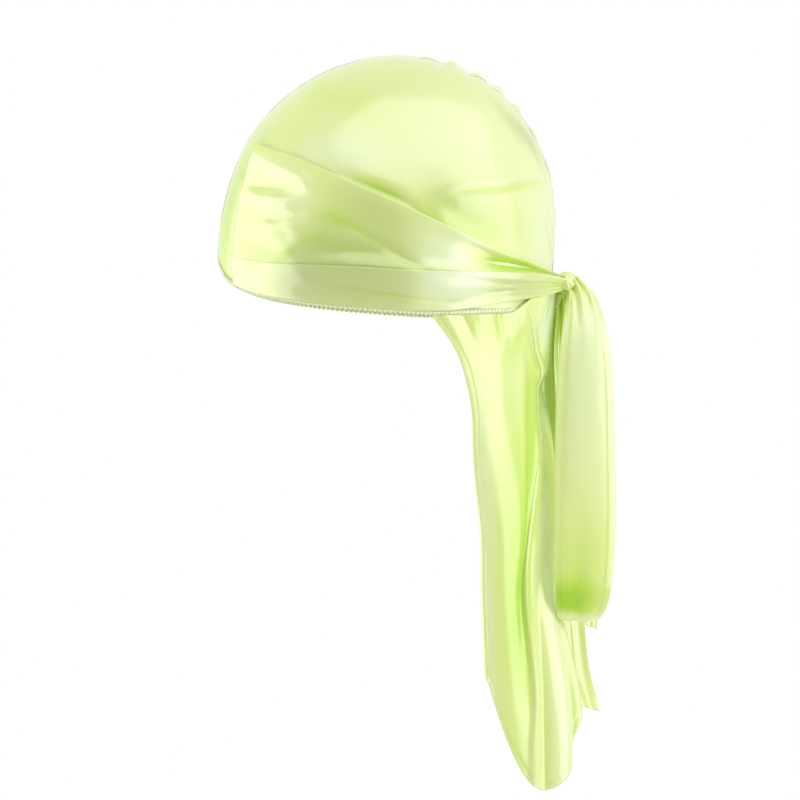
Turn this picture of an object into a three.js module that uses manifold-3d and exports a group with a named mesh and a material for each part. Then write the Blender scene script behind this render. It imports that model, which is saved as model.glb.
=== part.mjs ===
// A satin durag, tied as it is worn: a two-panel crown, a wide tie band on each side that is drawn back in
// pleats to a knot at the nape, a bow loop and two loose tie ends, and a long two-panel tail down the neck.
// Millimetres, +Z up. The face is towards -Y and the wearer's left is towards +X.
// The origin is the point inside the crown where the top of the head touches it.
import * as THREE from 'three';
import Module from 'manifold-3d';

// Cloth, and the clearance between pieces that touch
const cloth = 1.2;
const seat = 0.3;

// Crown: the hollow for the head, measured inside
const crown_depth = 152;
const crown_front = 108;
const crown_rear = 91.5;
const crown_half_width = 77;

// Overlocked edging round the crown's rim
const hem_height = 2.0;
const hem_thickness = 1.8;

// Centre seams: the overlocked allowance that lies on the outside, and its ruffles at the back of the crown, from
// a share of the way from the top to the nape to another
const seam_width = 5;
const seam_thickness = 1.2;
const ruffle_height = 1.5;
const ruffle_count = 4;
const ruffle_start = 0.15;
const ruffle_end = 0.5;

// Tie bands
const pleat_height = 3.2;
const band_lift = 7;

// Knot: a core across the nape with a wrap round its middle
const knot_half_width = 13;
const knot_radius = 7;
const knot_furrow = 0.7;
const knot_furrows = 7;
const knot_twist = 80;

// Bow loop and loose tie ends
const strap_width = 34;
const strap_cup = 2.5;
const strap_crush = 2.4;
const strap_creases = 3;
const loop_spread = 36;
const loop_length = 200;
const long_end_length = 262;
const short_end_length = 210;
const end_slant = 9;

// Tail
const tail_length = 287;
const tail_drop = 0.6;
const tail_fold_depth = 8;
const gather_height = 1.2;
const gather_count = 9;

// Facets
const crown_around = 18;
const crown_down = 14;
const band_along = 22;
const band_across = 11;
const tail_across = 13;
const tail_down = 24;
const strap_across = 2 * strap_creases;
const loop_along = 40;
const end_along = 22;
const hem_around = 2 * crown_around;
const seam_along = 48;
const knot_around = 28;
const knot_along = 12;

const degree = Math.PI / 180;

// The crown's rings from the top down, as shares of its depth and reaches. Each level is egg-shaped.
const crown_rings = [
  { depth: 0.0, front: 0.0, rear: 0.0, side: 0.0 },
  { depth: 0.02, front: 0.245, rear: 0.225, side: 0.26 },
  { depth: 0.08, front: 0.46, rear: 0.5, side: 0.5 },
  { depth: 0.18, front: 0.66, rear: 0.71, side: 0.72 },
  { depth: 0.31, front: 0.815, rear: 0.865, side: 0.88 },
  { depth: 0.46, front: 0.917, rear: 0.966, side: 0.965 },
  { depth: 0.62, front: 0.977, rear: 1.0, side: 1.0 },
  { depth: 0.8, front: 1.0, rear: 0.991, side: 0.985 },
  { depth: 1.0, front: 0.985, rear: 0.97, side: 0.94 },
];

// The rim's depth, in even steps from the forehead round one side to the nape
const rim = [
  { depth: 0.785 },
  { depth: 0.872 },
  { depth: 0.928 },
  { depth: 0.962 },
  { depth: 0.985 },
  { depth: 1.0 },
  { depth: 0.997 },
  { depth: 0.988 },
  { depth: 0.98 },
  { depth: 0.977 },
];

// A tie band's sections from the temple to the knot: how far round the crown, in degrees, the depth of its two
// edges, and its lift off the crown as a share of band_lift
const band_sections = [
  { azimuth: 25, top: 0.36, bottom: 0.87, lift: 0.0 },
  { azimuth: 52, top: 0.42, bottom: 0.93, lift: 0.0 },
  { azimuth: 73, top: 0.51, bottom: 0.958, lift: 0.0 },
  { azimuth: 91, top: 0.6, bottom: 0.972, lift: 0.0 },
  { azimuth: 110, top: 0.69, bottom: 0.972, lift: 0.0 },
  { azimuth: 130, top: 0.775, bottom: 0.962, lift: 0.02 },
  { azimuth: 148, top: 0.82, bottom: 0.95, lift: 0.14 },
  { azimuth: 162, top: 0.845, bottom: 0.932, lift: 0.42 },
  { azimuth: 174, top: 0.86, bottom: 0.91, lift: 0.9 },
];

// The band's pleats: where each crest lies between the top edge (0) and the bottom edge (1), at the temple and at
// the knot, its height as a share of pleat_height, and how fast it falls off above and below the crest
const band_pleats = [
  { temple: 0.02, knot: 0.06, height: 0.4, above: 0.06, below: 0.1 },
  { temple: 0.42, knot: 0.3, height: 0.5, above: 0.1, below: 0.16 },
  { temple: 0.8, knot: 0.12, height: 1.0, above: 0.07, below: 0.22 },
  { temple: 0.93, knot: 0.8, height: 0.35, above: 0.07, below: 0.1 },
];
const pleat_spread = 2;

// The knot's thickness from one end to the other, as a share of knot_radius
const knot_sections = [
  { out: 0.0, thick: 0.0 },
  { out: 0.03, thick: 0.5 },
  { out: 0.14, thick: 0.8 },
  { out: 0.27, thick: 0.78 },
  { out: 0.34, thick: 0.97 },
  { out: 0.5, thick: 1.0 },
  { out: 0.66, thick: 0.97 },
  { out: 0.73, thick: 0.78 },
  { out: 0.86, thick: 0.8 },
  { out: 0.97, thick: 0.5 },
  { out: 1.0, thick: 0.0 },
];

// The bow loop, from the knot down its near side, round its foot and back up. Sideways is a share of loop_spread,
// back and half width are shares of strap_width, and down is a share of the length, all from the knot's centre.
// Turn is 0 where the strap's width runs across the back and 90 where it runs from front to back, in degrees.
const loop_sections = [
  { side: 0.1, back: 0.1, down: -0.01, half: 0.13, turn: 90 },
  { side: 0.3, back: 0.24, down: 0.04, half: 0.26, turn: 90 },
  { side: 0.44, back: 0.3, down: 0.13, half: 0.36, turn: 90 },
  { side: 0.52, back: 0.32, down: 0.28, half: 0.47, turn: 90 },
  { side: 0.54, back: 0.33, down: 0.5, half: 0.5, turn: 90 },
  { side: 0.56, back: 0.33, down: 0.74, half: 0.5, turn: 90 },
  { side: 0.48, back: 0.29, down: 0.92, half: 0.46, turn: 90 },
  { side: 0.06, back: 0.22, down: 1.0, half: 0.36, turn: 90 },
  { side: -0.36, back: 0.38, down: 0.93, half: 0.4, turn: 90 },
  { side: -0.46, back: 0.4, down: 0.72, half: 0.42, turn: 90 },
  { side: -0.44, back: 0.42, down: 0.46, half: 0.38, turn: 90 },
  { side: -0.36, back: 0.36, down: 0.2, half: 0.27, turn: 90 },
  { side: -0.16, back: 0.22, down: 0.035, half: 0.12, turn: 90 },
];
const long_end_sections = [
  { side: -0.1, back: -0.06, down: 0.02, half: 0.12, turn: -10 },
  { side: -0.27, back: -0.13, down: 0.1, half: 0.22, turn: -30 },
  { side: -0.46, back: -0.14, down: 0.22, half: 0.33, turn: -38 },
  { side: -0.76, back: 0.02, down: 0.38, half: 0.4, turn: -24 },
  { side: -1.04, back: 0.06, down: 0.58, half: 0.43, turn: 5 },
  { side: -1.02, back: 0.14, down: 0.78, half: 0.42, turn: 30 },
  { side: -0.68, back: 0.3, down: 1.0, half: 0.34, turn: 55 },
];
const short_end_sections = [
  { side: -0.34, back: 0.0, down: 0.035, half: 0.12, turn: 30 },
  { side: -0.92, back: 0.12, down: 0.15, half: 0.24, turn: 55 },
  { side: -1.3, back: 0.28, down: 0.36, half: 0.36, turn: 76 },
  { side: -1.62, back: 0.3, down: 0.66, half: 0.38, turn: 84 },
  { side: -1.66, back: 0.28, down: 1.0, half: 0.26, turn: 86 },
];

// The tail's sections below the nape, as shares: how far down, its centre behind the crown's, its half width and
// depth, how far it has turned to the wearer's left, and how far its two sides reach round it, in degrees
const tail_sections = [
  { down: 0.0, back: 0.0, wide: 0.94, deep: 0.97, turn: 0, near: 78, far: 66 },
  { down: 0.1, back: 0.28, wide: 0.86, deep: 0.62, turn: 8, near: 71, far: 68 },
  { down: 0.2, back: 0.51, wide: 0.74, deep: 0.4, turn: 18, near: 70, far: 70 },
  { down: 0.3, back: 0.61, wide: 0.62, deep: 0.33, turn: 27, near: 72, far: 72 },
  { down: 0.45, back: 0.68, wide: 0.45, deep: 0.27, turn: 38, near: 72, far: 70 },
  { down: 0.6, back: 0.735, wide: 0.39, deep: 0.21, turn: 50, near: 72, far: 66 },
  { down: 0.8, back: 0.84, wide: 0.42, deep: 0.17, turn: 62, near: 72, far: 68 },
  { down: 1.0, back: 0.9, wide: 0.36, deep: 0.12, turn: 70, near: 72, far: 72 },
];
const near_hem_row = 5.75;
const seam_hem_row = tail_sections.length - 1;
const far_hem_row = 6.15;
const hem_roundness = 1.6;
const rim_fade_rows = 1.5;

// The tail's long folds, from its near edge (-1) over the seam (0) to its far edge (1): where each lies at the nape
// and at the hem, its height at the nape, half-way and at the hem, and its width
const tail_folds = [
  { nape: -0.96, hem: -0.96, top: 0.0, middle: -0.25, bottom: -0.35, width: 0.1 },
  { nape: -0.65, hem: -0.62, top: 0.1, middle: 0.5, bottom: 0.4, width: 0.2 },
  { nape: -0.42, hem: -0.3, top: -0.1, middle: -0.8, bottom: -0.45, width: 0.11 },
  { nape: -0.14, hem: -0.12, top: 0.0, middle: 0.5, bottom: 0.5, width: 0.09 },
  { nape: 0.12, hem: 0.1, top: 0.0, middle: -0.3, bottom: -0.3, width: 0.1 },
  { nape: 0.36, hem: 0.4, top: 0.1, middle: 0.25, bottom: 0.45, width: 0.18 },
  { nape: 0.68, hem: 0.72, top: -0.1, middle: -0.7, bottom: -0.5, width: 0.14 },
  { nape: 0.92, hem: 0.94, top: 0.0, middle: 0.2, bottom: 0.3, width: 0.12 },
];
const gather_fade = 0.14;

function limit(value, low, high) {
  return Math.min(Math.max(value, low), high);
}

function mix(a, b, share) {
  return a + (b - a) * share;
}

function ease(value) {
  const t = limit(value, 0, 1);
  return t * t * (3 - 2 * t);
}

// One column of a table as a smooth curve, at a row number that may be a fraction. Past the first row the column
// stays level, or with a fold of 1 or -1 it is mirrored, with its sign kept or turned.
function along(table, column, at, fold = 0) {
  const last = table.length - 1;
  const row = limit(Math.floor(at), 0, last - 1);
  const value = (k) => (k < 0 && fold ? fold * table[-k][column] : table[limit(k, 0, last)][column]);
  const [before, here, next, after] = [value(row - 1), value(row), value(row + 1), value(row + 2)];
  const share = at - row;
  const bend = 2 * before - 5 * here + 4 * next - after;
  const twist = 3 * here - before - 3 * next + after;
  return here + 0.5 * share * (next - before + share * (bend + share * twist));
}

// The row number at which a rising column reaches a value
function rowWhere(table, column, wanted, fold = 0) {
  let low = 0;
  let high = table.length - 1;
  for (let halving = 0; halving < 30; halving += 1) {
    const middle = (low + high) / 2;
    if (along(table, column, middle, fold) < wanted) low = middle;
    else high = middle;
  }
  return (low + high) / 2;
}

// A closed mesh from a list of faces, each a list of corners. Corners that coincide are shared.
function closedMesh(faces) {
  const positions = [];
  const index = [];
  const seen = new Map();
  const corner = (point) => {
    const key = point.toArray().map((value) => Math.round(value * 1e4)).join();
    if (!seen.has(key)) {
      seen.set(key, positions.length / 3);
      positions.push(...point.toArray());
    }
    return seen.get(key);
  };
  for (const face of faces) {
    const ids = face.map(corner);
    for (let k = 1; k < ids.length - 1; k += 1) {
      const triangle = [ids[0], ids[k], ids[k + 1]];
      if (new Set(triangle).size === 3) index.push(...triangle);
    }
  }
  const geometry = new THREE.BufferGeometry();
  geometry.setAttribute('position', new THREE.Float32BufferAttribute(positions, 3));
  geometry.setIndex(volume(positions, index) < 0 ? index.reverse() : index);
  return geometry;
}

function volume(positions, index) {
  const point = (k) => new THREE.Vector3().fromArray(positions, 3 * k);
  let sum = 0;
  for (let k = 0; k < index.length; k += 3) {
    sum += point(index[k]).dot(point(index[k + 1]).cross(point(index[k + 2])));
  }
  return sum / 6;
}

// A sheet of cloth as a solid: its inner and outer face, by shares across and down, and the edges between them
function sheet(inner_face, outer_face, { across, down, ring = false }) {
  const grid = (face) =>
    Array.from({ length: down + 1 }, (_, j) =>
      Array.from({ length: across + 1 }, (_, i) => face(ring && i === across ? 0 : i / across, j / down)),
    );
  const inner = grid(inner_face);
  const outer = grid(outer_face);
  const faces = [];
  for (let j = 0; j < down; j += 1) {
    for (let i = 0; i < across; i += 1) {
      faces.push([outer[j][i], outer[j][i + 1], outer[j + 1][i + 1], outer[j + 1][i]]);
      faces.push([inner[j][i], inner[j + 1][i], inner[j + 1][i + 1], inner[j][i + 1]]);
    }
  }
  for (let i = 0; i < across; i += 1) {
    faces.push([outer[0][i], inner[0][i], inner[0][i + 1], outer[0][i + 1]]);
    faces.push([outer[down][i], outer[down][i + 1], inner[down][i + 1], inner[down][i]]);
  }
  for (let j = 0; j < down && !ring; j += 1) {
    faces.push([outer[j][0], outer[j + 1][0], inner[j + 1][0], inner[j][0]]);
    faces.push([outer[j][across], inner[j][across], inner[j + 1][across], outer[j + 1][across]]);
  }
  return closedMesh(faces);
}

function mirrored(geometry) {
  const copy = geometry.clone().scale(-1, 1, 1);
  copy.setIndex([...copy.index.array].reverse());
  return copy;
}

const wasm = await Module();
wasm.setup();

function toSolid(geometry) {
  const vertProperties = new Float32Array(geometry.attributes.position.array);
  const triVerts = new Uint32Array(geometry.index.array);
  return new wasm.Manifold(new wasm.Mesh({ numProp: 3, vertProperties, triVerts }));
}

// What is left of a piece of cloth outside the knot: the largest part
function outsideKnot(geometry) {
  const parts = toSolid(geometry).subtract(knot_clearance).decompose();
  parts.sort((a, b) => b.volume() - a.volume());
  const mesh = parts[0].getMesh();
  const rest = new THREE.BufferGeometry();
  rest.setAttribute('position', new THREE.BufferAttribute(mesh.vertProperties, mesh.numProp));
  rest.setIndex(new THREE.BufferAttribute(mesh.triVerts, 1));
  return rest;
}

// Crown

// The inner face of the crown, by azimuth in degrees from the forehead over the wearer's left, and ring number
function crownPoint(azimuth, ring) {
  const [sine, cosine] = [Math.sin(azimuth * degree), Math.cos(azimuth * degree)];
  const reach = cosine > 0
    ? crown_front * along(crown_rings, 'front', ring, -1)
    : crown_rear * along(crown_rings, 'rear', ring, -1);
  return new THREE.Vector3(
    crown_half_width * along(crown_rings, 'side', ring, -1) * sine,
    -reach * cosine,
    -crown_depth * along(crown_rings, 'depth', ring, 1),
  );
}

// The same face moved out by a distance
function crownOut(azimuth, ring, distance) {
  const step = 1e-3;
  const at = Math.max(ring, step);
  const sideways = crownPoint(azimuth + step, at).sub(crownPoint(azimuth - step, at));
  const downwards = crownPoint(azimuth, at + step).sub(crownPoint(azimuth, at - step));
  return crownPoint(azimuth, ring).addScaledVector(downwards.cross(sideways).normalize(), distance);
}

// The ring number at a depth, as a share of the crown's depth
function ringAt(depth) {
  return rowWhere(crown_rings, 'depth', depth, 1);
}

function rimRing(azimuth) {
  const round = 180 - Math.abs(180 - azimuth);
  return ringAt(along(rim, 'depth', (round / 180) * (rim.length - 1), 1));
}

// A point past the rim, so far along the crown's face and so far out from it
function pastRim(azimuth, beyond, distance) {
  const ring = rimRing(azimuth);
  const edge = crownOut(azimuth, ring, distance);
  const way = crownPoint(azimuth, ring).sub(crownPoint(azimuth, ring - 1e-3)).normalize();
  return edge.addScaledVector(way, beyond);
}

function crownPanel() {
  const face = (distance) => (across, down) => {
    const azimuth = 180 * across;
    const point = crownOut(azimuth, down * rimRing(azimuth), distance);
    return point.setX(Math.max(point.x, 0) + seat / 2);
  };
  return sheet(face(0), face(cloth), { across: crown_around, down: crown_down });
}

function hemEdging() {
  const face = (distance) => (across, down) => pastRim(360 * across, seat + down * hem_height, distance);
  return sheet(face(0), face(hem_thickness), { across: hem_around, down: 1, ring: true });
}

// The seam allowance over the middle of the crown, from the forehead's rim (0) over the top to the nape's (1)
function centreSeam() {
  const ruffles = (past_top) => {
    const at = limit((past_top - ruffle_start) / (ruffle_end - ruffle_start), 0, 1);
    return ruffle_height * Math.sin(Math.PI * ruffle_count * at) ** 2;
  };
  const face = (distance) => (across, down) => {
    const past_top = 2 * down - 1;
    const azimuth = past_top < 0 ? 0 : 180;
    const ring = Math.abs(past_top) * rimRing(azimuth);
    const point = crownOut(azimuth, ring, distance + ruffles(past_top));
    return point.setX(seam_width * (0.5 - across));
  };
  const base = cloth + seat;
  return sheet(face(base), face(base + seam_thickness), { across: 1, down: seam_along });
}

// Tie bands

function pleats(across, down) {
  return band_pleats.reduce((sum, { temple, knot, height, above, below }) => {
    const off = down - mix(temple, knot, across);
    const width = (off < 0 ? above : below) * mix(1, pleat_spread, across);
    return sum + pleat_height * height * Math.exp(-((off / width) ** 2));
  }, 0);
}

function tieBand() {
  const face = (distance) => (across, down) => {
    const azimuth = mix(band_sections[0].azimuth, band_sections.at(-1).azimuth, across);
    const row = rowWhere(band_sections, 'azimuth', azimuth);
    const depth = mix(along(band_sections, 'top', row), along(band_sections, 'bottom', row), down);
    const lift = band_lift * along(band_sections, 'lift', row);
    return crownOut(azimuth, ringAt(depth), cloth + seat + lift + pleats(across, down) + distance);
  };
  return outsideKnot(sheet(face(0), face(cloth), { across: band_along, down: band_across }));
}

// Knot

const knot_depth = mix(band_sections.at(-1).top, band_sections.at(-1).bottom, 0.5);
const knot_back = cloth + seat + seam_thickness + seat + knot_radius;
const knot_centre = crownOut(180, ringAt(knot_depth), knot_back);

// The knot, or the space that it needs with a clearance round it
function knotShape(clearance) {
  const half_width = knot_half_width + clearance;
  const face = (thick) => (across, down) => {
    const row = down * (knot_sections.length - 1);
    const out = 2 * along(knot_sections, 'out', row) - 1;
    const angle = 360 * across * degree;
    const furrow = knot_furrow * Math.sin(knot_furrows * angle + out * knot_twist * degree) ** 2;
    const share = along(knot_sections, 'thick', row);
    const radius = Math.max(share, 0) * (knot_radius + clearance - furrow) * thick;
    return new THREE.Vector3(half_width * out, radius * Math.cos(angle), radius * Math.sin(angle)).add(knot_centre);
  };
  return lathe(face(1), { across: knot_around, down: knot_along });
}

// A closed skin round an axis, whose first and last rows are each one point
function lathe(face, { across, down }) {
  const rows = Array.from({ length: down + 1 }, (_, j) =>
    Array.from({ length: across + 1 }, (_, i) => face((i % across) / across, j / down)),
  );
  const faces = [];
  for (let j = 0; j < down; j += 1) {
    for (let i = 0; i < across; i += 1) {
      faces.push([rows[j][i], rows[j][i + 1], rows[j + 1][i + 1], rows[j + 1][i]]);
    }
  }
  return closedMesh(faces);
}

const knot_clearance = toSolid(knotShape(seat));

// Bow loop and tie ends

// A strap's face at a distance from its middle. The last of it is cut at a slant.
function strapFace(sections, length, slant, distance) {
  const middle = (row) =>
    new THREE.Vector3(
      loop_spread * along(sections, 'side', row),
      strap_width * along(sections, 'back', row),
      -length * along(sections, 'down', row),
    ).add(knot_centre);
  return (across, down) => {
    const row = down * (sections.length - 1) * (1 - (slant / length) * (1 - across));
    const run = middle(row + 1e-3).sub(middle(row - 1e-3)).normalize();
    const turn = along(sections, 'turn', row) * degree;
    const width = new THREE.Vector3(Math.cos(turn), Math.sin(turn), 0);
    width.addScaledVector(run, -width.dot(run)).normalize();
    const half = along(sections, 'half', row);
    const side = 2 * across - 1;
    const crush = strap_crush * (1 - 2 * half) * Math.cos(strap_creases * Math.PI * side);
    const out = distance - cloth / 2 + crush - strap_cup * (side * side - 0.5);
    const facing = run.clone().cross(width);
    return middle(row).addScaledVector(width, half * strap_width * side).addScaledVector(facing, out);
  };
}

function strap(sections, length, slant, down) {
  const face = (distance) => strapFace(sections, length, slant, distance);
  return outsideKnot(sheet(face(0), face(cloth), { across: strap_across, down }));
}

// Tail

function tailRelief(side, down) {
  const folds = tail_folds.reduce((sum, { nape, hem, top, middle, bottom, width }) => {
    const height = down < 0.5 ? mix(top, middle, ease(2 * down)) : mix(middle, bottom, ease(2 * down - 1));
    return sum + height * Math.exp(-(((side - mix(nape, hem, down)) / width) ** 2));
  }, 0);
  const gathers = gather_height * Math.cos(Math.PI * gather_count * side) * (1 - ease(down / gather_fade));
  return tail_fold_depth * folds + gathers;
}

// The row of tail_sections that a share down the tail comes to. Its hem is a blunt point at the seam.
function tailRow(side, down) {
  const edge_row = side < 0 ? near_hem_row : far_hem_row;
  return down * mix(seam_hem_row, edge_row, Math.abs(side) ** hem_roundness);
}

// The tail as a smooth half pipe that is narrowed, flattened and turned as it goes down, before its folds
function tailBase(across, down) {
  const side = 2 * across - 1;
  const pipe = (row) => {
    const reach = side < 0 ? along(tail_sections, 'near', row) : along(tail_sections, 'far', row);
    const [angle, turn] = [reach * side * degree, along(tail_sections, 'turn', row) * degree];
    const wide = -crown_half_width * along(tail_sections, 'wide', row) * Math.sin(angle);
    const deep = crown_rear * along(tail_sections, 'deep', row) * Math.cos(angle);
    return new THREE.Vector3(
      deep * Math.sin(turn) + wide * Math.cos(turn),
      crown_rear * along(tail_sections, 'back', row) + deep * Math.cos(turn) - wide * Math.sin(turn),
      -crown_depth - tail_length * along(tail_sections, 'down', row),
    );
  };
  const row = tailRow(side, down);
  const sewn = side * (side < 0 ? tail_sections[0].near : tail_sections[0].far);
  const onto_rim = pastRim(180 + sewn, seat + hem_height + tail_drop, 0).sub(pipe(0));
  return pipe(row).addScaledVector(onto_rim, 1 - ease(row / rim_fade_rows));
}

// The direction out of a face at a place
function facing(face, across, down) {
  const step = 1e-3;
  const [above, below] = [Math.max(down - step, 0), Math.min(down + step, 1)];
  const [left, right] = [Math.max(across - step, 0), Math.min(across + step, 1)];
  const downwards = face(across, below).sub(face(across, above));
  return downwards.cross(face(right, down).sub(face(left, down))).normalize();
}

function tailFace(distance) {
  const folded = (across, down) => {
    const side = 2 * across - 1;
    const height = tailRelief(side, along(tail_sections, 'down', tailRow(side, down)));
    return tailBase(across, down).addScaledVector(facing(tailBase, across, down), height);
  };
  return (across, down) => folded(across, down).addScaledVector(facing(folded, across, down), distance);
}

// A length beside the tail's seam as a share across the tail
function besideSeam(length, down) {
  const step = 0.01;
  return (length * step) / tailBase(0.5 + step, down).distanceTo(tailBase(0.5, down));
}

// One side of the tail, from its free edge to the seam. Its last column lies under the seam's allowance.
function tailPanel(edge) {
  const toward = Math.sign(edge - 0.5);
  const face = (distance) => (across, down) => {
    const allowance = 0.5 + toward * besideSeam(seam_width / 2, down);
    const seam = 0.5 + toward * besideSeam(seat / 2, down);
    const at = across * tail_across;
    const last = tail_across - 1;
    const place = at <= last ? mix(edge, allowance, at / last) : mix(allowance, seam, at - last);
    return tailFace(distance)(place, down);
  };
  return sheet(face(0), face(cloth), { across: tail_across, down: tail_down });
}

function tailSeam() {
  const face = (distance) => (across, down) =>
    tailFace(distance)(0.5 + besideSeam(seam_width * (across - 0.5), down), down);
  const base = cloth + seat;
  return sheet(face(base), face(base + seam_thickness), { across: 2, down: tail_down });
}

const satin = { color: 0xe1f596, roughness: 0.34, metalness: 0 };
const thread = { color: 0xd2ec80, roughness: 0.7, metalness: 0 };
const durag = new THREE.Group();

function add(name, geometry, finish) {
  const mesh = new THREE.Mesh(geometry, new THREE.MeshStandardMaterial(finish));
  mesh.name = name;
  durag.add(mesh);
}

const crown_left = crownPanel();
const band_left = tieBand();
add('crown_panel_left', crown_left, satin);
add('crown_panel_right', mirrored(crown_left), satin);
add('centre_seam', centreSeam(), thread);
add('hem_edging', hemEdging(), thread);
add('tie_band_left', band_left, satin);
add('tie_band_right', mirrored(band_left), satin);
add('tie_knot', knotShape(0), satin);
add('bow_loop', strap(loop_sections, loop_length, 0, loop_along), satin);
add('tie_end_long', strap(long_end_sections, long_end_length, end_slant, end_along), satin);
add('tie_end_short', strap(short_end_sections, short_end_length, end_slant, end_along), satin);
add('tail_panel_left', tailPanel(0), satin);
add('tail_panel_right', tailPanel(1), satin);
add('tail_seam', tailSeam(), thread);

export default durag;
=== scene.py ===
# A satin durag, tied as it is worn, in studio light. Metres, +Z up, the face towards -Y.
import math

import bmesh
import bpy
import numpy as np
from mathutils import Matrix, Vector


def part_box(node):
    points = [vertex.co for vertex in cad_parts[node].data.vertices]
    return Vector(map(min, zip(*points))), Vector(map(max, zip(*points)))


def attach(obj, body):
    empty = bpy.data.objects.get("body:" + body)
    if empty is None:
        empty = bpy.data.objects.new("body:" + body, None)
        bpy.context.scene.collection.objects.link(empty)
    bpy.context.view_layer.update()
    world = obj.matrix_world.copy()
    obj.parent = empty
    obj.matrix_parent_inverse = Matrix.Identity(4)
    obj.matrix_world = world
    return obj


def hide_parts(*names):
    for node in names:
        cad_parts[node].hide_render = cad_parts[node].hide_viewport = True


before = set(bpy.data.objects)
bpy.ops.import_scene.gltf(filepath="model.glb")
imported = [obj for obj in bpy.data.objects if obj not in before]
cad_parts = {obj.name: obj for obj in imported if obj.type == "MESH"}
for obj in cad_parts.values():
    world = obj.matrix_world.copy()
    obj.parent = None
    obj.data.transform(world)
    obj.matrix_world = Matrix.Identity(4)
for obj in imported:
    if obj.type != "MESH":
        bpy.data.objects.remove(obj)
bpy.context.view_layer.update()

# Camera
# A long lens beside the wearer's left, level with the middle of the durag, which fills a square picture.
picture_width = 0.48
picture_middle = -0.2052
camera_distance = 4.0
sensor_width = 36


def placed(name, data):
    """A new object, put into the scene."""
    made = bpy.data.objects.new(name, data)
    bpy.context.collection.objects.link(made)
    return made


camera = placed("camera", bpy.data.cameras.new("camera"))
camera.data.sensor_width = sensor_width
camera.data.lens = sensor_width * camera_distance / picture_width
camera.location = (camera_distance, 0, picture_middle)
camera.rotation_euler = (math.radians(90), 0, math.radians(90))
bpy.context.scene.camera = camera
bpy.context.scene.view_settings.view_transform = "Standard"

# Floor
# Pale paper, well below the tip of the tail, so that it throws soft light back up.
floor_height = -0.62
floor_radius = 1.2
floor_colour = (0.86, 0.86, 0.84, 1)

floor_shape = bmesh.new()
bmesh.ops.create_circle(floor_shape, cap_ends=True, segments=96, radius=floor_radius)
bmesh.ops.translate(floor_shape, vec=(0, 0, floor_height), verts=floor_shape.verts)
floor = placed("floor", bpy.data.meshes.new("floor"))
floor_shape.to_mesh(floor.data)
floor_shape.free()
paper = bpy.data.materials.new("pale_paper")
paper.use_nodes = True
paper.node_tree.nodes["Principled BSDF"].inputs["Base Color"].default_value = floor_colour
paper.node_tree.nodes["Principled BSDF"].inputs["Roughness"].default_value = 0.8
floor.data.materials.append(paper)
floor.visible_glossy = False

# Light
# Softboxes round the durag: azimuth 0 is before the face, 90 is the camera's side and 180 is behind the nape.
# The paper behind is white to the camera, and gives the satin an even light of its own.
softboxes = [
    dict(name="front_softbox", azimuth=2, elevation=-2, distance=1.3, width=1.75, height=1.7, power=14.5),
    dict(name="rear_softbox", azimuth=148, elevation=-4, distance=1.2, width=1.05, height=1.1, power=6),
    dict(name="high_softbox", azimuth=112, elevation=50, distance=1.5, width=2.8, height=1.8, power=14.5),
]
white_paper = 1.0
paper_glow = 0.96
camera_side_glow = 0.28

for box in softboxes:
    azimuth, elevation = math.radians(box["azimuth"]), math.radians(box["elevation"])
    level = math.cos(elevation)
    direction = Vector((level * math.sin(azimuth), -level * math.cos(azimuth), math.sin(elevation)))
    light = bpy.data.lights.new(box["name"], "AREA")
    light.shape = "RECTANGLE"
    light.size = box["width"]
    light.size_y = box["height"]
    light.energy = box["power"]
    lamp = placed(box["name"], light)
    lamp.location = Vector((0, 0, picture_middle)) + box["distance"] * direction
    lamp.rotation_euler = direction.to_track_quat("Z", "Y").to_euler()
    lamp.visible_camera = False

world = bpy.data.worlds.new("white_paper")
world.use_nodes = True
bpy.context.scene.world = world
nodes, links = world.node_tree.nodes, world.node_tree.links
seen = nodes.new("ShaderNodeLightPath")
direction = nodes.new("ShaderNodeSeparateXYZ")
links.new(nodes.new("ShaderNodeTexCoord").outputs["Generated"], direction.inputs["Vector"])
round_glow = nodes.new("ShaderNodeMapRange")
round_glow.inputs["From Min"].default_value = -1
round_glow.inputs["To Min"].default_value = paper_glow
round_glow.inputs["To Max"].default_value = camera_side_glow
links.new(direction.outputs["X"], round_glow.inputs["Value"])
glow = nodes.new("ShaderNodeMix")
glow.inputs["B"].default_value = white_paper
links.new(round_glow.outputs["Result"], glow.inputs["A"])
links.new(seen.outputs["Is Camera Ray"], glow.inputs["Factor"])
links.new(glow.outputs[0], nodes["Background"].inputs["Strength"])
nodes["Background"].inputs["Color"].default_value = (1, 1, 1, 1)

# Satin
# Thin lime polyester satin: long glossy floats on the face, a finer matt weave between them, and a colour that
# deepens at random, with painted shade in its folds where light passes from fold to fold, painted highlights on
# crests and an olive painted shade in dim places. Every piece of it is one sheet, sewn with lime thread.
satin_light = (0.78, 0.90, 0.29, 1)
# The deeper lime is both random deeper tone and painted shade in the folds, the darkest lime is painted shade in
# the deepest folds, the pale crest colour is a painted highlight, and the olive is painted shade, a dull
# reflection painted into the colour.
satin_deep_tone_and_fold_shade = (0.58, 0.83, 0.04, 1)
satin_darkest_fold_shade = (0.40, 0.72, 0.005, 1)
satin_painted_highlight = (0.86, 0.97, 0.60, 1)
satin_shaded = (0.46, 0.55, 0.18, 1)
satin_roughness = 0.34
satin_thickness = 0.0005
float_width = 0.00035
float_length = 0.005
float_height = 0.00003
weave_pitch = 0.0006
weave_height = 0.00001
stitch_pitch = 0.0028
stitch_share = 0.7
stitch_width = 0.0005
stitch_dip = 0.00015
far_from_seam = 1.0
millimetre = 0.001


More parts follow.
